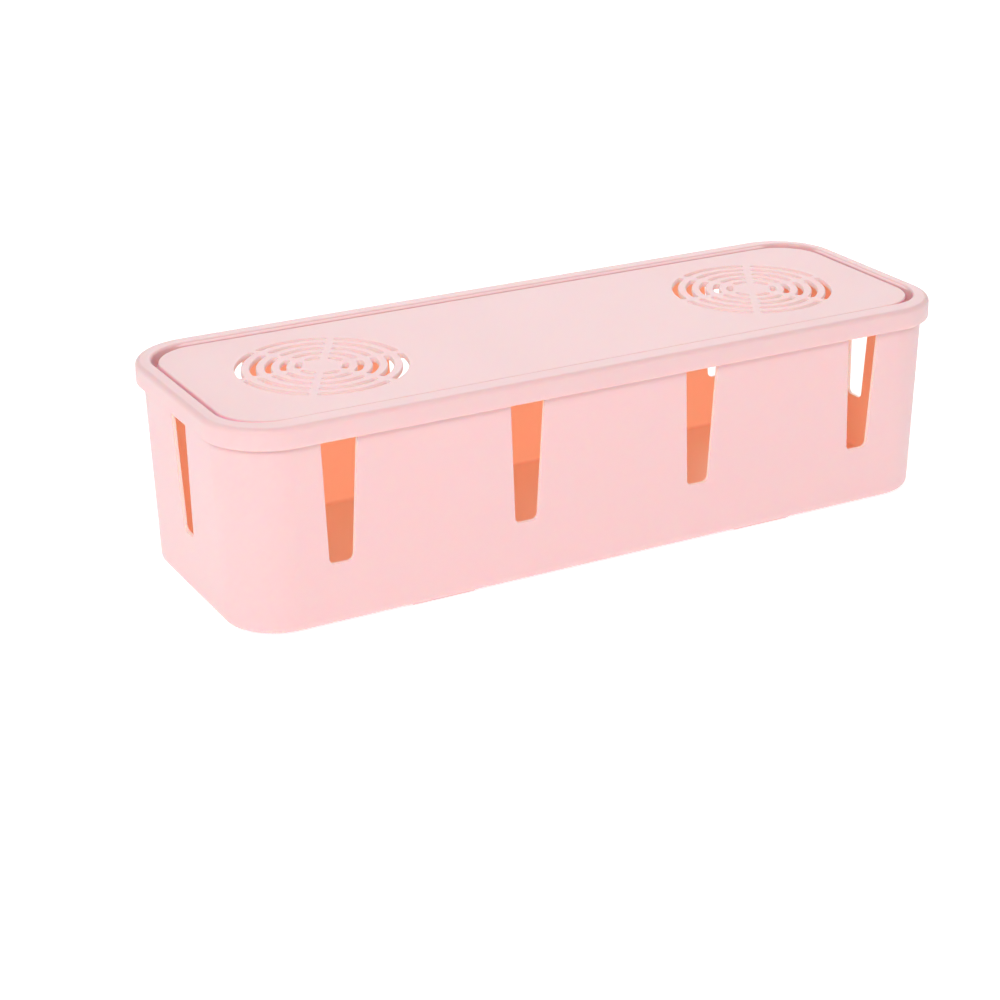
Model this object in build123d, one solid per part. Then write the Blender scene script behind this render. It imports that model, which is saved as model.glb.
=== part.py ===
"""Cable management box: a moulded tub with open cord notches, and a vented lid that lifts off.

Millimetres. +X along the box, +Y towards its back, +Z up. The origin is the middle of the
footprint, on the surface that the feet stand on.
"""
import os
from math import radians, tan

from build123d import *

# Overall size, with the lid on.
LENGTH = 265.0
WIDTH = 95.0
HEIGHT = 70.0

# Lid: one moulding of even wall, with a skirt that hangs outside the tub.
LID_WALL = 1.8
LID_CORNER_RADIUS = 22.0
LID_TOP_RADIUS = 2.5
SKIRT_DROP = 7.2
SKIRT_GAP = 0.5

# Opening in the lid's rolled rim. Its wall goes on down as a rib that plugs into the tub.
PLUG_GAP = 0.3
RIB_WALL = 1.0
SIDE_RIM_EXTRA = 1.9
RIM_OPENING_RADIUS = 15.3
RIM_LIP_RADIUS = 2.0

# Panel inside the opening: lower than the rim, with a narrow groove all round it.
PANEL_DROP = 0.8
GROOVE_WIDTH = 1.5
GROOVE_DEPTH = 4.6
PANEL_CORNER_RADIUS = 16.2
PANEL_EDGE_CHAMFER = 0.6

# Round vents in the lid's panel: rings of arc slots, crossed by straight spokes.
VENT_SPACING = 162.5
VENT_RINGS = 5
VENT_FIRST_RADIUS = 7.5
VENT_RING_PITCH = 4.74
VENT_SLOT_WIDTH = 1.95
VENT_SPOKES = 6
VENT_SPOKE_WIDTH = 2.6
VENT_SPOKE_ANGLE = 0.0

# Tub: one moulding with drafted walls.
TUB_WALL = 1.4
TUB_FLOOR = 2.0
TUB_DRAFT_ANGLE = 1.7
TUB_BOTTOM_RADIUS = 2.5

# Cord notches in the tub's walls, open at its top edge.
LONG_SIDE_NOTCHES = 4
NOTCH_PITCH = 64.2
NOTCH_SILL_HEIGHT = 21.6
NOTCH_TOP_WIDTH = 12.5
NOTCH_SILL_WIDTH = 8.0
NOTCH_SILL_RADIUS = 2.0

# Feet: low pads moulded under the floor, near its long edges.
FOOT_HEIGHT = 1.0
FOOT_LENGTH = 22.0
FOOT_WIDTH = 6.0
FOOT_SPACING = 120.6
FOOT_EDGE_INSET = 2.6
FOOT_CHAMFER = 0.6

# Sizes that follow from the ones above.
TUB_TOP = HEIGHT - LID_WALL
TUB_HEIGHT = TUB_TOP - FOOT_HEIGHT
TUB_OVERHANG = LID_WALL + SKIRT_GAP
TUB_BASE_INSET = TUB_OVERHANG + TUB_HEIGHT * tan(radians(TUB_DRAFT_ANGLE))
RIM_WIDTH = TUB_OVERHANG + TUB_WALL + PLUG_GAP + RIB_WALL
PANEL_TOP = HEIGHT - PANEL_DROP
PANEL_UNDERSIDE = PANEL_TOP - LID_WALL
GROOVE_FLOOR = HEIGHT - GROOVE_DEPTH
RIB_BOTTOM = GROOVE_FLOOR - RIB_WALL
LEVEL_TOLERANCE = 1e-4  # for picking edges and faces by their height


def outline(inset):
    """Rounded rectangle set in from the lid's outline and concentric with it."""
    return RectangleRounded(LENGTH - 2 * inset, WIDTH - 2 * inset, LID_CORNER_RADIUS - inset)


def slab(sketch, low, high, taper=0.0):
    """Prism of a sketch from one height to another, widening upwards by a draft angle."""
    return extrude(Pos(0, 0, low) * sketch, high - low, taper=-taper)


def edges_at(part, height):
    """Edges of a part that lie flat at one height."""
    return part.edges().filter_by_position(Axis.Z, height - LEVEL_TOLERANCE, height + LEVEL_TOLERANCE)


# Tub ---------------------------------------------------------------------------------------

def tub_shell():
    """Drafted tub with an even wall and a rounded bottom edge."""
    outer = slab(outline(TUB_BASE_INSET), FOOT_HEIGHT, TUB_TOP, TUB_DRAFT_ANGLE)
    outer = fillet(edges_at(outer, FOOT_HEIGHT), TUB_BOTTOM_RADIUS)
    floor_top = FOOT_HEIGHT + TUB_FLOOR
    floor_inset = TUB_BASE_INSET + TUB_WALL - TUB_FLOOR * tan(radians(TUB_DRAFT_ANGLE))
    inner = slab(outline(floor_inset), floor_top, TUB_TOP, TUB_DRAFT_ANGLE)
    return outer - inner


def notch_profile():
    """Upright face of one notch: wide at the open top, narrower at its rounded sill."""
    face = Polygon(
        (-NOTCH_SILL_WIDTH / 2, NOTCH_SILL_HEIGHT),
        (NOTCH_SILL_WIDTH / 2, NOTCH_SILL_HEIGHT),
        (NOTCH_TOP_WIDTH / 2, TUB_TOP),
        (-NOTCH_TOP_WIDTH / 2, TUB_TOP),
        align=None,
    )
    sill_corners = face.vertices().sort_by(Axis.Y)[:2]
    return fillet(sill_corners, NOTCH_SILL_RADIUS)


def notches():
    """Cutters for the notches: one prism cuts the pair that faces each other across the tub."""
    upright = Plane.XZ * notch_profile()
    first = -NOTCH_PITCH * (LONG_SIDE_NOTCHES - 1) / 2
    cutters = []
    for index in range(LONG_SIDE_NOTCHES):
        across = extrude(upright, WIDTH / 2, both=True)
        cutters.append(Pos(first + index * NOTCH_PITCH, 0, 0) * across)
    cutters.append(Rot(0, 0, 90) * extrude(upright, LENGTH / 2, both=True))
    return cutters


def feet():
    """Four pads, chamfered where they meet the surface, that run up into the floor."""
    pad = slab(Rectangle(FOOT_LENGTH, FOOT_WIDTH), 0, FOOT_HEIGHT + TUB_FLOOR / 2)
    pad = chamfer(edges_at(pad, 0), FOOT_CHAMFER)
    reach = WIDTH / 2 - TUB_BASE_INSET - FOOT_EDGE_INSET - FOOT_WIDTH / 2
    spots = [(x, y) for x in (-FOOT_SPACING / 2, FOOT_SPACING / 2) for y in (-reach, reach)]
    return [Pos(x, y, 0) * pad for x, y in spots]


def tub():
    part = tub_shell() + feet()
    return part - notches()


# Lid ---------------------------------------------------------------------------------------

def lid_shell():
    """Shallow cap: top plate and skirt, with the outer top edge rolled over."""
    low = HEIGHT - SKIRT_DROP
    outer = slab(outline(0), low, HEIGHT)
    outer = fillet(edges_at(outer, HEIGHT), LID_TOP_RADIUS)
    return outer - slab(outline(LID_WALL), low, TUB_TOP)


def rim_opening(inset, corner_radius=RIM_OPENING_RADIUS):
    """Outline of the opening in the rim, set in; the rim is wider along the two long sides."""
    across = LENGTH - 2 * (RIM_WIDTH + inset)
    deep = WIDTH - 2 * (RIM_WIDTH + SIDE_RIM_EXTRA + inset)
    return RectangleRounded(across, deep, corner_radius)


def basin():
    """Rib that hangs from the rim into the tub, closed by the floor of the groove."""
    outer = slab(rim_opening(-RIB_WALL, RIM_OPENING_RADIUS + RIB_WALL), RIB_BOTTOM, TUB_TOP)
    return outer - slab(rim_opening(0), GROOVE_FLOOR, TUB_TOP)


def panel():
    """Panel that stands up from the groove's floor, with its upper edge broken."""
    block = slab(rim_opening(GROOVE_WIDTH, PANEL_CORNER_RADIUS), GROOVE_FLOOR, PANEL_TOP)
    return chamfer(edges_at(block, PANEL_TOP), PANEL_EDGE_CHAMFER)


def panel_hollow():
    """Cutter that leaves an even wall under the panel and inside the rib."""
    sketch = rim_opening(GROOVE_WIDTH + RIB_WALL, PANEL_CORNER_RADIUS - RIB_WALL)
    return slab(sketch, RIB_BOTTOM, PANEL_UNDERSIDE)


def rolled_rim():
    """Lid shell with its opening and basin, the rim rolled over into the opening."""
    rim = lid_shell() - slab(rim_opening(0), TUB_TOP, HEIGHT) + basin()
    top = rim.faces().sort_by(Axis.Z)[-1]
    return fillet(top.inner_wires()[0].edges(), RIM_LIP_RADIUS)


def vent_slots():
    """Arc slots of one vent, drawn about its centre: whole rings, then the spokes left standing."""
    slots = Sketch()
    for ring in range(VENT_RINGS):
        radius = VENT_FIRST_RADIUS + ring * VENT_RING_PITCH
        outer, inner = radius + VENT_SLOT_WIDTH / 2, radius - VENT_SLOT_WIDTH / 2
        slots += Circle(outer) - Circle(inner)
    across = 2 * (VENT_FIRST_RADIUS + VENT_RINGS * VENT_RING_PITCH)
    for bar in range(VENT_SPOKES // 2):
        angle = VENT_SPOKE_ANGLE + bar * 360.0 / VENT_SPOKES
        slots -= Rot(0, 0, angle) * Rectangle(across, VENT_SPOKE_WIDTH)
    return slots


def vents():
    """Cutters for both vents, through the lid's panel."""
    cutter = slab(vent_slots(), PANEL_UNDERSIDE, PANEL_TOP)
    return [Pos(x, 0, 0) * cutter for x in (-VENT_SPACING / 2, VENT_SPACING / 2)]


def lid():
    return rolled_rim() + panel() - panel_hollow() - vents()


# Files -------------------------------------------------------------------------------------

NODES = {"tub": tub, "lid": lid}

os.makedirs("parts", exist_ok=True)
for name, make in NODES.items():
    export_step(make(), f"parts/{name}.step")
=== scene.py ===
"""Cable management box: a pink tub with open cord notches, and a vented lid that lifts off."""
from math import asin, atan2, cos, pi, radians, sin, tan

import bmesh
import bpy
from mathutils import Matrix, Vector


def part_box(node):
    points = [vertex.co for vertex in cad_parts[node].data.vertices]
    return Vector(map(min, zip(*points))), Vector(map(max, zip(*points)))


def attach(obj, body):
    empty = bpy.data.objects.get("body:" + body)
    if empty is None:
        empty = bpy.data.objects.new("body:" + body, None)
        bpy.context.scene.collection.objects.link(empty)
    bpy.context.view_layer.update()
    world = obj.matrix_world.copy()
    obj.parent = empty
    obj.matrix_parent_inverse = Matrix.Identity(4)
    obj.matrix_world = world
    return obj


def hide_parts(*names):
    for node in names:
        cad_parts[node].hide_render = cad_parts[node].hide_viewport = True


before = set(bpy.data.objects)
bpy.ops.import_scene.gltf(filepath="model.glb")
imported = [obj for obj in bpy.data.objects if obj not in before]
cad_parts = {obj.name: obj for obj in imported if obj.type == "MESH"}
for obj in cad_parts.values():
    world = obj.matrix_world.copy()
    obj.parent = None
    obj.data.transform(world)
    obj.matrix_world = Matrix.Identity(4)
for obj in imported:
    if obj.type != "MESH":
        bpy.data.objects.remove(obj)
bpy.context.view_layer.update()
scene = bpy.context.scene


# Camera -----------------------------------------------------------------------------------
# A long lens at the front left of the box and a little above it, shifted so that the box sits
# a little off the middle of the picture.

MM = 0.001
CAMERA_AZIMUTH = radians(-29.293)
CAMERA_ELEVATION = radians(21.995)
CAMERA_ROLL = radians(-0.207)
CAMERA_DISTANCE = 792.5 * MM
CAMERA_AIM = Vector((0, 0, 13.54 * MM))
FOCAL_PIXELS = 2335.2
AIM_PIXEL = (547.6, 481.2)
IMAGE_SIZE = 1000.0
SENSOR_WIDTH = 36.0
NEAREST_SEEN = 10 * MM


def direction(azimuth, elevation):
    """Unit vector out from the box; azimuth turns from its front to its right."""
    return Vector((sin(azimuth) * cos(elevation), -cos(azimuth) * cos(elevation), sin(elevation)))


back = direction(CAMERA_AZIMUTH, CAMERA_ELEVATION)
right = Vector((cos(CAMERA_AZIMUTH), sin(CAMERA_AZIMUTH), 0))
up = back.cross(right)
level = Matrix((right, up, back)).transposed().to_4x4()
lens = bpy.data.cameras.new("camera")
lens.sensor_width = SENSOR_WIDTH
lens.lens = FOCAL_PIXELS / IMAGE_SIZE * SENSOR_WIDTH
lens.shift_x = 0.5 - AIM_PIXEL[0] / IMAGE_SIZE
lens.shift_y = AIM_PIXEL[1] / IMAGE_SIZE - 0.5
lens.clip_start = NEAREST_SEEN
camera = bpy.data.objects.new("camera", lens)
stand = Matrix.Translation(CAMERA_AIM + CAMERA_DISTANCE * back)
camera.matrix_world = stand @ level @ Matrix.Rotation(CAMERA_ROLL, 4, "Z")
scene.collection.objects.link(camera)
scene.camera = camera
scene.view_settings.view_transform = "Standard"


# Studio -----------------------------------------------------------------------------------
# A white paper floor under even white light, with a small soft box above and to the left of
# the box and a large one behind it.

WHITE = (1, 1, 1, 1)
SKY_STRENGTH = 0.60
FLOOR_SIZE = 8.0
FLOOR_WHITE = (0.80, 0.80, 0.80, 1)
FLOOR_ROUGHNESS = 0.9
FLOOR_GLOSS = 0.2
FLOOR_GLOW = 0.50
LAMP_DISTANCE = 1.6

world = bpy.data.worlds.new("studio")
world.use_nodes = True
world.node_tree.nodes["Background"].inputs["Color"].default_value = WHITE
world.node_tree.nodes["Background"].inputs["Strength"].default_value = SKY_STRENGTH
scene.world = world

sheet = bpy.data.meshes.new("floor")
half = FLOOR_SIZE / 2
corners = [(-half, -half, 0), (half, -half, 0), (half, half, 0), (-half, half, 0)]
sheet.from_pydata(corners, [], [(0, 1, 2, 3)])
floor = bpy.data.objects.new("floor", sheet)
scene.collection.objects.link(floor)
paper = bpy.data.materials.new("paper")
paper.use_nodes = True
paper_surface = paper.node_tree.nodes["Principled BSDF"].inputs
paper_surface["Base Color"].default_value = FLOOR_WHITE
paper_surface["Roughness"].default_value = FLOOR_ROUGHNESS
paper_surface["Specular IOR Level"].default_value = FLOOR_GLOSS
paper_surface["Emission Color"].default_value = WHITE
paper_surface["Emission Strength"].default_value = FLOOR_GLOW
sheet.materials.append(paper)


def soft_box(name, azimuth, elevation, size, power):
    """Square area light that faces the box from one direction."""
    light = bpy.data.lights.new(name, "AREA")
    light.size = size
    light.energy = power
    away = direction(azimuth, elevation)
    lamp = bpy.data.objects.new(name, light)
    lamp.location = away * LAMP_DISTANCE
    lamp.rotation_euler = away.to_track_quat("Z", "Y").to_euler()
    scene.collection.objects.link(lamp)


soft_box("key", azimuth=radians(-42), elevation=radians(36), size=0.4, power=9)
soft_box("top", azimuth=radians(150), elevation=radians(34), size=1.0, power=7)


# Tub --------------------------------------------------------------------------------------
# One injection moulding in satin pink polypropylene: drafted walls of even thickness, ten
# cord notches that are open at the rim, and four low feet moulded under the floor.

low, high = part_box("lid")
LENGTH = high[0] - low[0]
WIDTH = high[1] - low[1]
HEIGHT = high[2]
LID_WALL = 1.8 * MM
SKIRT_GAP = 0.5 * MM
CORNER_RADIUS = 22 * MM
TUB_WALL = 1.4 * MM
TUB_FLOOR = 2.0 * MM
TUB_DRAFT = radians(1.7)
TUB_BOTTOM_RADIUS = 2.5 * MM
TUB_INSIDE_RADIUS = 1.2 * MM
TUB_EDGE_RADIUS = 0.3 * MM
FLOOR_LAND = 10 * MM  # strip of flat floor at the foot of the walls
FOOT_HEIGHT = 1.0 * MM
FOOT_LENGTH = 22 * MM
FOOT_WIDTH = 6 * MM
FOOT_SPACING = 120.6 * MM
FOOT_EDGE_INSET = 2.6 * MM
FOOT_EDGE_RADIUS = 0.5 * MM
LONG_SIDE_NOTCHES = 4
NOTCH_PITCH = 64.2 * MM
NOTCH_SILL_HEIGHT = 21.6 * MM
NOTCH_TOP_WIDTH = 12.5 * MM
NOTCH_SILL_WIDTH = 8.0 * MM
NOTCH_SILL_RADIUS = 2.0 * MM
NOTCH_OVERRUN = 2 * MM  # how far a notch's cutter goes on above the rim
NOTCH_REACH = 5 * MM  # and to each side of the wall's inner face
CORNER_STEPS = 24
ARC_STEP = radians(12)
EDGE_STEPS = 3
ROUND_PROFILE = 0.5
SHARP_EDGE = radians(40)
SHORTEST_EDGE = 1e-7

TUB_TOP = HEIGHT - LID_WALL
TUB_OVERHANG = LID_WALL + SKIRT_GAP
TUB_BASE_INSET = TUB_OVERHANG + (TUB_TOP - FOOT_HEIGHT) * tan(TUB_DRAFT)
FLOOR_TOP = FOOT_HEIGHT + TUB_FLOOR
FLOOR_INSET = TUB_BASE_INSET + TUB_WALL - TUB_FLOOR * tan(TUB_DRAFT)


def rounded(corners, step=ARC_STEP):
    """Points along a path of (a, b, radius) corners, with each inner corner rounded off."""
    points = [Vector(corners[0][:2])]
    for before, corner, after in zip(corners, corners[1:], corners[2:]):
        bend = Vector(corner[:2])
        radius = corner[2]
        if not radius:
            points.append(bend)
            continue
        arriving = (Vector(before[:2]) - bend).normalized()
        leaving = (Vector(after[:2]) - bend).normalized()
        half_angle = arriving.angle(leaving) / 2
        centre = bend + (arriving + leaving).normalized() * (radius / sin(half_angle))
        start = bend + arriving * (radius / tan(half_angle)) - centre
        end = bend + leaving * (radius / tan(half_angle)) - centre
        first = atan2(start.y, start.x)
        turn = (atan2(end.y, end.x) - first + pi) % (2 * pi) - pi
        steps = max(2, round(abs(turn) / step))
        for index in range(steps + 1):
            angle = first + turn * index / steps
            points.append(centre + radius * Vector((cos(angle), sin(angle))))
    points.append(Vector(corners[-1][:2]))
    return points


def ring(inset, height, corner_radius=CORNER_RADIUS, side_extra=0):
    """Rounded rectangle set in from the lid's outline; corner_radius is the one at no inset."""
    radius = corner_radius - inset
    reach_x = LENGTH / 2 - corner_radius
    reach_y = WIDTH / 2 - corner_radius - side_extra
    points = []
    for quarter, (side_x, side_y) in enumerate(((1, 1), (-1, 1), (-1, -1), (1, -1))):
        for index in range(CORNER_STEPS + 1):
            angle = pi / 2 * (quarter + index / CORNER_STEPS)
            x = side_x * reach_x + radius * cos(angle)
            y = side_y * reach_y + radius * sin(angle)
            points.append(Vector((x, y, height)))
    return points


def placed(name, shape):
    """Mesh object in the scene from a bmesh, which is used up."""
    mesh = bpy.data.meshes.new(name)
    shape.to_mesh(mesh)
    shape.free()
    piece = bpy.data.objects.new(name, mesh)
    scene.collection.objects.link(piece)
    return piece


def skin(name, rings):
    """Closed mesh object through a stack of rings, with its first and last ring capped."""
    shape = bmesh.new()
    loops = [[shape.verts.new(point) for point in points] for points in rings]
    for here, there in zip(loops, loops[1:]):
        for index in range(len(here)):
            after = (index + 1) % len(here)
            shape.faces.new((here[index], here[after], there[after], there[index]))
    shape.faces.new(loops[0])
    shape.faces.new(loops[-1])
    bmesh.ops.recalc_face_normals(shape, faces=shape.faces)
    return placed(name, shape)


def joined(name, pieces):
    """One mesh object from several, which are used up."""
    shape = bmesh.new()
    for piece in pieces:
        piece.data.transform(piece.matrix_basis)
        shape.from_mesh(piece.data)
        bpy.data.objects.remove(piece)
    return placed(name, shape)


def combine(piece, tool, operation):
    """Adds a tool to a piece, or cuts it away, and removes the tool."""
    change = piece.modifiers.new("combine", "BOOLEAN")
    change.operation = operation
    change.solver = "EXACT"
    change.object = tool
    made = piece.evaluated_get(bpy.context.evaluated_depsgraph_get())
    mesh = bpy.data.meshes.new_from_object(made)
    piece.modifiers.clear()
    piece.data = mesh
    bpy.data.objects.remove(tool)


def break_edges(piece, radius):
    """Rounds every edge of a piece that turns sharply."""
    shape = bmesh.new()
    shape.from_mesh(piece.data)
    bmesh.ops.dissolve_degenerate(shape, dist=SHORTEST_EDGE, edges=shape.edges)
    edges = [
        edge for edge in shape.edges
        if edge.is_manifold and edge.calc_face_angle() > SHARP_EDGE
    ]
    bmesh.ops.bevel(
        shape, geom=edges, affect="EDGES", offset=radius, offset_type="OFFSET",
        segments=EDGE_STEPS, profile=ROUND_PROFILE, clamp_overlap=True, loop_slide=True,
    )
    shape.to_mesh(piece.data)
    shape.free()


LEVEL = 0.9999  # least upward part of a level face's normal
UPRIGHT = 0.07  # most upward part of a wall's normal, draft included
SQUARE = 0.001  # most that a wall square to the box turns aside
RUNS_ON = 0.6  # least cosine between two faces that are shaded as one


def soften(piece):
    """Shades the roundings smoothly into the flat faces, which stay flat."""
    mesh = piece.data
    mesh.shade_smooth()
    flat = []
    for face in mesh.polygons:
        across, along, rise = (abs(part) for part in face.normal)
        flat.append(rise > LEVEL or (rise < UPRIGHT and min(across, along) < SQUARE))
    around = [[] for vertex in mesh.vertices]
    for face in mesh.polygons:
        for vertex in face.vertices:
            around[vertex].append(face.index)
    normals = []
    for face in mesh.polygons:
        for vertex in face.vertices:
            close = [
                near for near in around[vertex]
                if mesh.polygons[near].normal.dot(face.normal) > RUNS_ON
            ]
            steady = [near for near in close if flat[near]]
            normal = Vector()
            for near in [face.index] if flat[face.index] else steady or close:
                normal += mesh.polygons[near].normal
            normals.append(normal.normalized())
    mesh.normals_split_custom_set(normals)


# Outside up from the floor, over the rim, and down the inside to the floor again.
wall_section = rounded((
    (TUB_BASE_INSET + FLOOR_LAND, FOOT_HEIGHT, 0),
    (TUB_BASE_INSET, FOOT_HEIGHT, TUB_BOTTOM_RADIUS),
    (TUB_OVERHANG, TUB_TOP, 0),
    (TUB_OVERHANG + TUB_WALL, TUB_TOP, 0),
    (FLOOR_INSET, FLOOR_TOP, TUB_INSIDE_RADIUS),
    (FLOOR_INSET + FLOOR_LAND, FLOOR_TOP, 0),
))
tub = skin("tub_moulding", [ring(inset, height) for inset, height in wall_section])


def notch_cutter(spot, turn):
    """Tapered plug across one wall: narrow with rounded corners at the sill, wide at the rim."""
    lean = (NOTCH_TOP_WIDTH - NOTCH_SILL_WIDTH) / 2 / (TUB_TOP - NOTCH_SILL_HEIGHT)
    above = TUB_TOP + NOTCH_OVERRUN
    half_top = NOTCH_TOP_WIDTH / 2 + lean * NOTCH_OVERRUN
    half_sill = NOTCH_SILL_WIDTH / 2
    outline = rounded((
        (-half_top, above, 0),
        (-half_sill, NOTCH_SILL_HEIGHT, NOTCH_SILL_RADIUS),
        (half_sill, NOTCH_SILL_HEIGHT, NOTCH_SILL_RADIUS),
        (half_top, above, 0),
    ))
    ends = [
        [Vector((across, reach, height)) for across, height in outline]
        for reach in (-NOTCH_REACH, NOTCH_REACH)
    ]
    plug = skin("notch", ends)
    plug.matrix_basis = Matrix.Translation(spot) @ Matrix.Rotation(turn, 4, "Z")
    return plug


wall_y = WIDTH / 2 - TUB_OVERHANG - TUB_WALL
wall_x = LENGTH / 2 - TUB_OVERHANG - TUB_WALL
plugs = [notch_cutter(Vector((side * wall_x, 0, 0)), pi / 2) for side in (-1, 1)]
for side in (-1, 1):
    for index in range(LONG_SIDE_NOTCHES):
        along = NOTCH_PITCH * (index - (LONG_SIDE_NOTCHES - 1) / 2)
        plugs.append(notch_cutter(Vector((along, side * wall_y, 0)), 0))
combine(tub, joined("notches", plugs), "DIFFERENCE")
break_edges(tub, TUB_EDGE_RADIUS)


def foot_pad(x, y):
    """Low pad with broken edges that runs up into the tub's floor."""
    shape = bmesh.new()
    bmesh.ops.create_cube(shape, size=1)
    top = FOOT_HEIGHT + TUB_FLOOR / 2
    bmesh.ops.scale(shape, vec=(FOOT_LENGTH, FOOT_WIDTH, top), verts=shape.verts)
    bmesh.ops.translate(shape, vec=(x, y, top / 2), verts=shape.verts)
    rims = [edge for edge in shape.edges if sum(vert.co.z for vert in edge.verts) < top]
    bmesh.ops.bevel(
        shape, geom=rims, affect="EDGES", offset=FOOT_EDGE_RADIUS,
        segments=EDGE_STEPS, profile=ROUND_PROFILE,
    )
    return placed("foot", shape)


foot_y = WIDTH / 2 - TUB_BASE_INSET - FOOT_EDGE_INSET - FOOT_WIDTH / 2
feet = [foot_pad(x, y) for x in (-FOOT_SPACING / 2, FOOT_SPACING / 2) for y in (-foot_y, foot_y)]
combine(tub, joined("feet", feet), "UNION")
soften(tub)


class Wire:
    """Output of a node; arithmetic on it adds Math nodes to the same finish."""

    def __init__(self, finish, socket):
        self.finish = finish
        self.socket = socket

    def __add__(self, other):
        return self.finish.math("ADD", self, other)

    __radd__ = __add__

    def __sub__(self, other):
        return self.finish.math("SUBTRACT", self, other)

    def __rsub__(self, other):
        return self.finish.math("SUBTRACT", other, self)

    def __mul__(self, other):
        return self.finish.math("MULTIPLY", self, other)

    __rmul__ = __mul__


BLACK = (0, 0, 0, 1)
PINK = (0.82, 0.58, 0.585, 1)
PINK_DEEPER = (0.7954, 0.5626, 0.56745, 1)
SATIN_ROUGHNESS = 0.36
SATIN_GLOSS = 0.3
PLASTIC_IOR = 1.49
BLEED_DEPTH = 1.5 * MM
BLEED_COLOUR = (1.0, 0.42, 0.25)
NOISE_ROUGHNESS = 0.55
MOTTLE_SIZE = 40 * MM
MOTTLE_DETAIL = 2.0
MOTTLE_TINT = 0.10
MOTTLE_ROUGHNESS = 0.10
GRAIN_SIZE = 0.45 * MM
GRAIN_DETAIL = 3.0
GRAIN_DEPTH = 0.03 * MM
GRAIN_STRENGTH = 0.12


class SatinPink:
    """Satin pink plastic, built from nodes: a faint mottle, then one moulding's painted light and
    shade.
    """

    def __init__(self, name):
        self.material = bpy.data.materials.new(name)
        self.material.use_nodes = True
        self.nodes = self.material.node_tree.nodes
        self.links = self.material.node_tree.links
        self.nodes.clear()
        self.place = self.node("ShaderNodeTexCoord", {}, {}, output="Object")
        # Both mouldings are mirrored left to right and front to back: x and y have no sign here.
        x, y, self.z = (
            self.node("ShaderNodeSeparateXYZ", {}, {0: self.place}, output=axis) for axis in "XYZ"
        )
        self.x = self.math("ABSOLUTE", x)
        self.y = self.math("ABSOLUTE", y)
        self.mottle = self.noise(MOTTLE_SIZE, MOTTLE_DETAIL)
        self.colour = self.blend(MOTTLE_TINT * self.mottle, PINK, PINK_DEEPER)
        # Emission colour for painted light; black where nothing is painted.
        self.painted_glow = BLACK

    def node(self, kind, settings, inputs, output=0):
        """Adds a node: settings first, then numbers or wires on its inputs."""
        node = self.nodes.new(kind)
        for name, value in settings.items():
            setattr(node, name, value)
        for name, value in inputs.items():
            if isinstance(value, Wire):
                self.links.new(value.socket, node.inputs[name])
            else:
                node.inputs[name].default_value = value
        return Wire(self, node.outputs[output]) if node.outputs else node

    def math(self, operation, *values):
        """Adds a Math node."""
        return self.node("ShaderNodeMath", {"operation": operation}, dict(enumerate(values)))

    def blend(self, factor, first, second):
        """Mixes two colours."""
        inputs = {0: factor, 6: first, 7: second}
        return self.node("ShaderNodeMix", {"data_type": "RGBA"}, inputs, output=2)

    def noise(self, size, detail):
        """Noise of about that grain size in metres, from 0 to 1."""
        inputs = {
            "Vector": self.place, "Scale": 1 / size, "Detail": detail, "Roughness": NOISE_ROUGHNESS,
        }
        return self.node("ShaderNodeTexNoise", {}, inputs)

    def inset(self, corner_radius, side_extra=0):
        """How far a place is in from a rounded outline like the lid's."""
        over_x = self.x - (LENGTH / 2 - corner_radius)
        over_y = self.y - (WIDTH / 2 - corner_radius - side_extra)
        corner_x = self.math("MAXIMUM", over_x, 0.0)
        corner_y = self.math("MAXIMUM", over_y, 0.0)
        corner = self.math("SQRT", corner_x * corner_x + corner_y * corner_y)
        beside = self.math("MINIMUM", self.math("MAXIMUM", over_x, over_y), 0.0)
        return corner_radius - corner - beside

    def fade(self, value, nothing, full):
        """0 on the nothing side, 1 on the full side, smooth between; either may be the higher."""
        settings = {"interpolation_type": "SMOOTHSTEP"}
        inputs = {0: value, 1: nothing, 2: full, 3: 0.0, 4: 1.0}
        return self.node("ShaderNodeMapRange", settings, inputs)

    def where(self, *fades):
        """Mask that is full only where each (value, nothing, full) fade is."""
        mask = self.fade(*fades[0])
        for fade in fades[1:]:
            mask = mask * self.fade(*fade)
        return mask

    def paint_light_tint(self, mask, colour):
        """Lays a colour of painted light and shade over the pink, where the mask is."""
        self.colour = self.blend(mask, self.colour, colour)

    def paint_glow(self, mask, colour):
        """Adds glow as painted light, in place of light that the plastic passes, where the mask is.
        """
        self.painted_glow = self.blend(mask, self.painted_glow, colour)

    def coat(self, piece):
        """Finishes the material and puts it on a piece."""
        grain = self.noise(GRAIN_SIZE, GRAIN_DETAIL)
        bump = {"Strength": GRAIN_STRENGTH, "Distance": GRAIN_DEPTH, "Height": grain}
        surface = self.node("ShaderNodeBsdfPrincipled", {}, {
            "Base Color": self.colour,
            "Roughness": SATIN_ROUGHNESS + MOTTLE_ROUGHNESS * self.mottle,
            "IOR": PLASTIC_IOR,
            "Specular IOR Level": SATIN_GLOSS,
            "Subsurface Weight": 1.0,
            "Subsurface Radius": BLEED_COLOUR,
            "Subsurface Scale": BLEED_DEPTH,
            "Emission Color": self.painted_glow,
            "Emission Strength": 1.0,
            "Normal": self.node("ShaderNodeBump", {}, bump),
        })
        self.node("ShaderNodeOutputMaterial", {}, {"Surface": surface})
        piece.data.materials.append(self.material)


# Painted light: the tub's inner face gets an orange tint and a glow, which stand in for light
# passed in through the translucent pink walls.
INSIDE_PAINTED_GLOW_TINT = (0.98, 0.60, 0.44, 1)
INSIDE_PAINTED_GLOW = (0.265, 0.155, 0.095, 1)
CUT_PAINTED_LIGHT = (0.80, 0.70, 0.70, 1)
CUT_PAINTED_GLOW = (0.19, 0.145, 0.11, 1)
FLOOR_LIGHT = 0.45  # share of the painted inside glow that the tub's floor gets
END_SHADE = 0.55  # share of that glow taken off near the tub's ends, as painted shade
INNER_FACE_BOTTOM = FOOT_HEIGHT + 0.9 * TUB_FLOOR

tub_satin = SatinPink("tub_satin")
height = tub_satin.z
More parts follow.
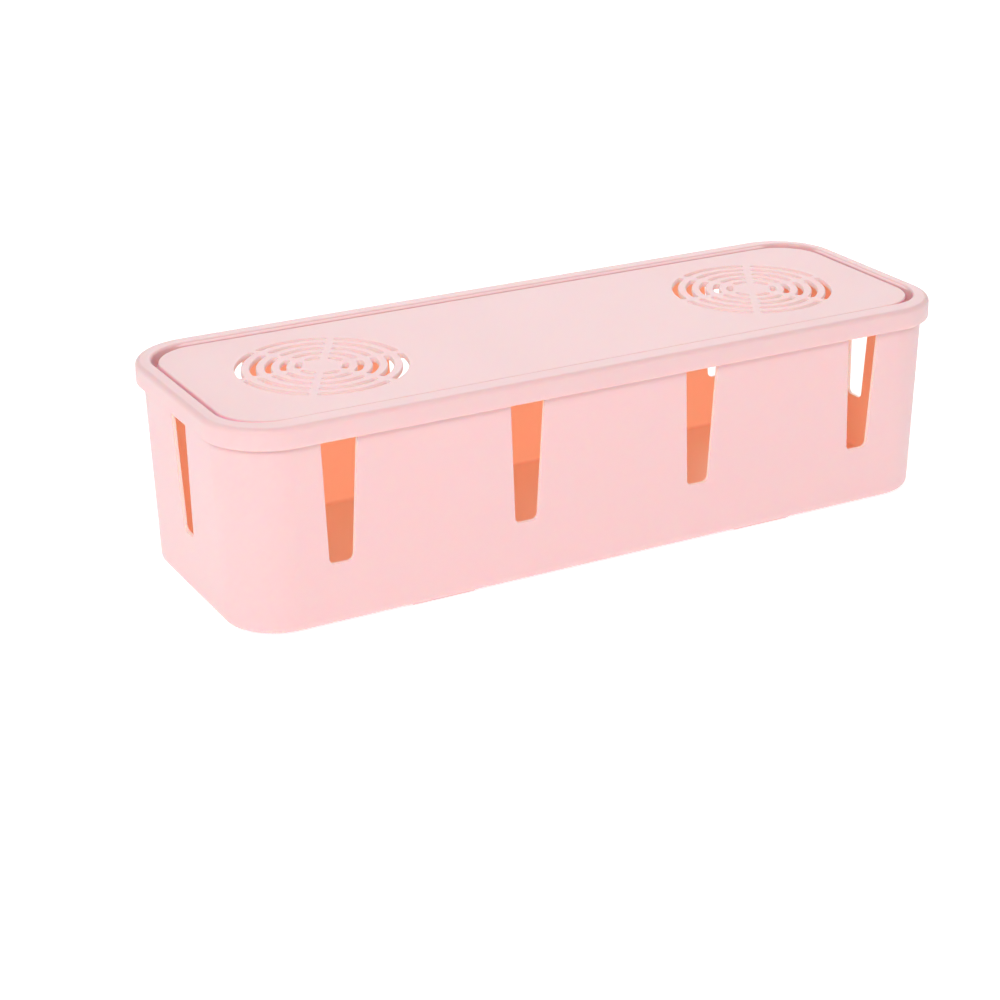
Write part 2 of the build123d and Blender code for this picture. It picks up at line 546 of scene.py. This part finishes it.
# Through the wall: the outside, the cut faces of the notches, then the inner face.
depth = tub_satin.inset(CORNER_RADIUS) - TUB_OVERHANG - (TUB_TOP - height) * tan(TUB_DRAFT)
inner_face = tub_satin.where(
    (depth, 0.85 * TUB_WALL, 0.98 * TUB_WALL),
    (height, FOOT_HEIGHT + 0.5 * TUB_FLOOR, INNER_FACE_BOTTOM),
    (height, TUB_TOP - 0.1 * MM, TUB_TOP - 0.5 * MM),
)
# Painted light: the notches' cut faces get a pale tint and a glow, standing in for light that
# passes through the thin wall.
cut = tub_satin.fade(depth, 0.1 * TUB_WALL, 0.25 * TUB_WALL) - inner_face
cut = cut * tub_satin.fade(height, FLOOR_TOP + 2 * MM, NOTCH_SILL_HEIGHT)
cut = tub_satin.math("MAXIMUM", cut, 0.0)
# The painted glow is weaker on the floor and is painted darker near the tub's ends.
above_floor = tub_satin.fade(height, INNER_FACE_BOTTOM, FLOOR_TOP + 1 * MM)
near_ends = tub_satin.fade(tub_satin.x, LENGTH / 2 - 35 * MM, LENGTH / 2 - 10 * MM)
painted_inside_light = inner_face * (FLOOR_LIGHT + (1 - FLOOR_LIGHT) * above_floor) * (1 - END_SHADE * near_ends)
tub_satin.paint_light_tint(cut, CUT_PAINTED_LIGHT)
tub_satin.paint_light_tint(inner_face, INSIDE_PAINTED_GLOW_TINT)
tub_satin.paint_glow(cut, CUT_PAINTED_GLOW)
tub_satin.paint_glow(painted_inside_light, INSIDE_PAINTED_GLOW)
tub_satin.coat(tub)
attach(tub, "tub")
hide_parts("tub")


# Lid --------------------------------------------------------------------------------------
# A second moulding in the same plastic, which lies loose on the tub: a skirt outside the tub,
# a rib that plugs into it, and a panel with two round vents, set a little lower than the rim.

SKIRT_DROP = 7.2 * MM
LID_TOP_RADIUS = 1.8 * MM
LID_ROOT_RADIUS = 0.6 * MM
LID_EDGE_RADIUS = 0.3 * MM
PLUG_GAP = 0.3 * MM
RIB_WALL = 1.0 * MM
RIB_ROOT_RADIUS = 0.3 * MM
SIDE_RIM_EXTRA = 1.9 * MM
RIM_OPENING_RADIUS = 15.3 * MM
RIM_LIP_RADIUS = 1.0 * MM
RIM_SLOPE_DROP = 0.3 * MM
RIM_FLAT = 0.1 * MM  # strip beside each of the rim's two top roundings
RIM_LAND = 0.5 * MM  # strip of the rim's underside, beside the rib and beside the skirt
PANEL_DROP = 0.8 * MM
PANEL_LAND = 6 * MM  # strip of flat panel at its edge, above and below
PANEL_ROOT_RADIUS = 0.4 * MM
PANEL_CORNER_RADIUS = 16.2 * MM
PANEL_EDGE_RADIUS = 0.5 * MM
GROOVE_WIDTH = 1.5 * MM
GROOVE_DEPTH = 4.6 * MM
GROOVE_LAND = 0.4 * GROOVE_WIDTH  # strip of the groove's floor at the foot of each wall
GROOVE_ROOT_RADIUS = 0.3 * MM
VENT_SPACING = 162.5 * MM
VENT_RINGS = 5
VENT_FIRST_RADIUS = 7.5 * MM
VENT_RING_PITCH = 4.74 * MM
VENT_SLOT_WIDTH = 1.95 * MM
VENT_SPOKES = 6
VENT_SPOKE_WIDTH = 2.6 * MM
VENT_LIP_RADIUS = 0.4 * MM
VENT_LIP_STEP = radians(30)
SLOT_STEPS = 12
SLOT_END_STEPS = 8
SLOT_OVERRUN = 1 * MM  # how far a slot's cutter goes on past each face of the panel
SLOT_CLEARANCE = 0.01 * MM  # keeps the cutter's flare off the face itself

RIM_WIDTH = TUB_OVERHANG + TUB_WALL + PLUG_GAP + RIB_WALL
RIM_TOP = HEIGHT - RIM_SLOPE_DROP
RIB_INSET = RIM_WIDTH - RIB_WALL
PANEL_INSET = RIM_WIDTH + GROOVE_WIDTH
PANEL_TOP = HEIGHT - PANEL_DROP
PANEL_UNDERSIDE = PANEL_TOP - LID_WALL
SKIRT_LOW = HEIGHT - SKIRT_DROP
GROOVE_FLOOR = HEIGHT - GROOVE_DEPTH
RIB_BOTTOM = GROOVE_FLOOR - RIB_WALL

# Under the panel, down the inner side of the rib and half way across its foot.
under_panel = rounded((
    (PANEL_INSET + PANEL_LAND, PANEL_UNDERSIDE, 0),
    (PANEL_INSET + RIB_WALL, PANEL_UNDERSIDE, PANEL_ROOT_RADIUS),
    (PANEL_INSET + RIB_WALL, RIB_BOTTOM, LID_EDGE_RADIUS),
    (PANEL_INSET + RIB_WALL / 2, RIB_BOTTOM, 0),
))
# Across the foot and up the outer side of the rib to the rim's underside.
rib_outside = rounded((
    (RIM_WIDTH - RIB_WALL / 2, RIB_BOTTOM, 0),
    (RIB_INSET, RIB_BOTTOM, LID_EDGE_RADIUS),
    (RIB_INSET, TUB_TOP, RIB_ROOT_RADIUS),
    (RIB_INSET - RIM_LAND, TUB_TOP, 0),
))
# Under the rim, round the skirt and over the top.
cap = rounded((
    (LID_WALL + LID_ROOT_RADIUS + RIM_LAND, TUB_TOP, 0),
    (LID_WALL, TUB_TOP, LID_ROOT_RADIUS),
    (LID_WALL, SKIRT_LOW, LID_EDGE_RADIUS),
    (0, SKIRT_LOW, LID_EDGE_RADIUS),
    (0, RIM_TOP, LID_TOP_RADIUS),
    (LID_TOP_RADIUS + RIM_FLAT, RIM_TOP, 0),
))
# Down into the groove.
opening = rounded((
    (RIM_WIDTH - RIM_LIP_RADIUS - RIM_FLAT, HEIGHT, 0),
    (RIM_WIDTH, HEIGHT, RIM_LIP_RADIUS),
    (RIM_WIDTH, GROOVE_FLOOR, GROOVE_ROOT_RADIUS),
    (RIM_WIDTH + GROOVE_LAND, GROOVE_FLOOR, 0),
))
# From the groove's floor up to the panel.
panel = rounded((
    (PANEL_INSET - GROOVE_LAND, GROOVE_FLOOR, 0),
    (PANEL_INSET, GROOVE_FLOOR, GROOVE_ROOT_RADIUS),
    (PANEL_INSET, PANEL_TOP, PANEL_EDGE_RADIUS),
    (PANEL_INSET + PANEL_LAND, PANEL_TOP, 0),
))
opening_base = RIM_OPENING_RADIUS + RIM_WIDTH
panel_base = PANEL_CORNER_RADIUS + PANEL_INSET
rings = [ring(inset, height, panel_base, SIDE_RIM_EXTRA) for inset, height in under_panel]
rings += [ring(inset, height, opening_base, SIDE_RIM_EXTRA) for inset, height in rib_outside]
rings += [ring(inset, height) for inset, height in cap]
rings += [ring(inset, height, opening_base, SIDE_RIM_EXTRA) for inset, height in opening]
rings += [ring(inset, height, panel_base, SIDE_RIM_EXTRA) for inset, height in panel]
lid = skin("lid_moulding", rings)


def slot_outline(radius, half_width, start, end):
    """Arc slot with round ends, about the vent's centre."""
    outer_side = (radius + half_width, start, end, 0)
    inner_side = (radius - half_width, end, start, pi)
    points = []
    for edge, first, last, tip_turn in (outer_side, inner_side):
        for index in range(SLOT_STEPS + 1):
            angle = first + (last - first) * index / SLOT_STEPS
            points.append((edge * cos(angle), edge * sin(angle)))
        tip = Vector((radius * cos(last), radius * sin(last)))
        for index in range(1, SLOT_END_STEPS):
            angle = last + tip_turn + pi * index / SLOT_END_STEPS
            points.append(tuple(tip + half_width * Vector((cos(angle), sin(angle)))))
    return points


def slot_cutter(radius, start, end, centre_x):
    """Plug for one slot, flared at both faces of the plate so that the slot gets soft lips."""
    bottom = PANEL_UNDERSIDE - SLOT_CLEARANCE
    top = PANEL_TOP + SLOT_CLEARANCE
    flare = rounded((
        (SLOT_OVERRUN, bottom, 0),
        (0, bottom, VENT_LIP_RADIUS),
        (0, top, VENT_LIP_RADIUS),
        (SLOT_OVERRUN, top, 0),
    ), step=VENT_LIP_STEP)
    flare[0] = Vector((VENT_LIP_RADIUS, PANEL_UNDERSIDE - SLOT_OVERRUN))
    flare[-1] = Vector((VENT_LIP_RADIUS, PANEL_TOP + SLOT_OVERRUN))
    layers = []
    for wider, height in flare:
        outline = slot_outline(radius, VENT_SLOT_WIDTH / 2 + wider, start, end)
        layers.append([Vector((centre_x + x, y, height)) for x, y in outline])
    return skin("slot", layers)


slots = []
for centre_x in (-VENT_SPACING / 2, VENT_SPACING / 2):
    for index in range(VENT_RINGS):
        radius = VENT_FIRST_RADIUS + index * VENT_RING_PITCH
        trim = asin((VENT_SPOKE_WIDTH + VENT_SLOT_WIDTH) / 2 / radius)
        for spoke in range(VENT_SPOKES):
            start = 2 * pi / VENT_SPOKES * spoke + trim
            end = 2 * pi / VENT_SPOKES * (spoke + 1) - trim
            slots.append(slot_cutter(radius, start, end, centre_x))
combine(lid, joined("slots", slots), "DIFFERENCE")
soften(lid)

GROOVE_PAINTED_BOUNCE = (0.98, 0.53, 0.60, 1)
RIM_WALL_PAINTED_GLOW = (0.20, 0.21, 0.21, 1)
WEB_PAINTED_GLOW = (0.09, 0.07, 0.075, 1)
WEB_PAINTED_LIGHT_SHARE = 0.8  # how far the webs go towards the cut faces' pale painted light
VENT_REACH = 29 * MM  # from a vent's centre to just past its outermost slots

# Midway between the corners of the groove's two walls.
groove_base = (opening_base + panel_base) / 2

lid_satin = SatinPink("lid_satin")
height = lid_satin.z
inset = lid_satin.inset(groove_base, SIDE_RIM_EXTRA)
# The panel's wall of the groove, and a little of the groove's floor, which get a saturated pink
# tint as painted bounce light and shade.
groove = lid_satin.where(
    (inset, PANEL_INSET - 0.7 * MM, PANEL_INSET - 0.4 * MM),
    (inset, PANEL_INSET + 0.8 * MM, PANEL_INSET + 0.6 * MM),
    (height, PANEL_TOP - 0.1 * MM, PANEL_TOP - 0.3 * MM),
    (height, GROOVE_FLOOR - 0.3 * MM, GROOVE_FLOOR - 0.1 * MM),
)
# The rim's wall of it, above the panel and away from the corners, which glows as painted light that
# lifts its shade.
past_straight_x = lid_satin.x - (LENGTH / 2 - CORNER_RADIUS)
past_straight_y = lid_satin.y - (WIDTH / 2 - CORNER_RADIUS)
into_corner = lid_satin.math("MINIMUM", past_straight_x, past_straight_y)
rim_wall = lid_satin.where(
    (inset, RIM_WIDTH - 0.3 * MM, RIM_WIDTH - 0.1 * MM),
    (inset, RIM_WIDTH + 0.5 * MM, RIM_WIDTH + 0.3 * MM),
    (height, PANEL_TOP - 0.5 * MM, PANEL_TOP - 0.2 * MM),
    (height, HEIGHT - 0.05 * MM, HEIGHT - 0.4 * MM),
    (into_corner, 6 * MM, 2 * MM),
)
# The webs between the slots, between the panel's two faces, which get a pale tint and a glow as
# painted light passed through the thin plastic.
from_vent = lid_satin.x - VENT_SPACING / 2
reach = lid_satin.math("SQRT", from_vent * from_vent + lid_satin.y * lid_satin.y)
web = lid_satin.where(
    (height, PANEL_TOP - 0.05 * MM, PANEL_TOP - 0.35 * MM),
    (height, PANEL_UNDERSIDE + 0.05 * MM, PANEL_UNDERSIDE + 0.35 * MM),
    (reach, VENT_REACH + 1 * MM, VENT_REACH),
)
lid_satin.paint_light_tint(groove, GROOVE_PAINTED_BOUNCE)
lid_satin.paint_light_tint(WEB_PAINTED_LIGHT_SHARE * web, CUT_PAINTED_LIGHT)
lid_satin.paint_glow(web, WEB_PAINTED_GLOW)
lid_satin.paint_glow(rim_wall, RIM_WALL_PAINTED_GLOW)
lid_satin.coat(lid)
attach(lid, "lid")
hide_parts("lid")
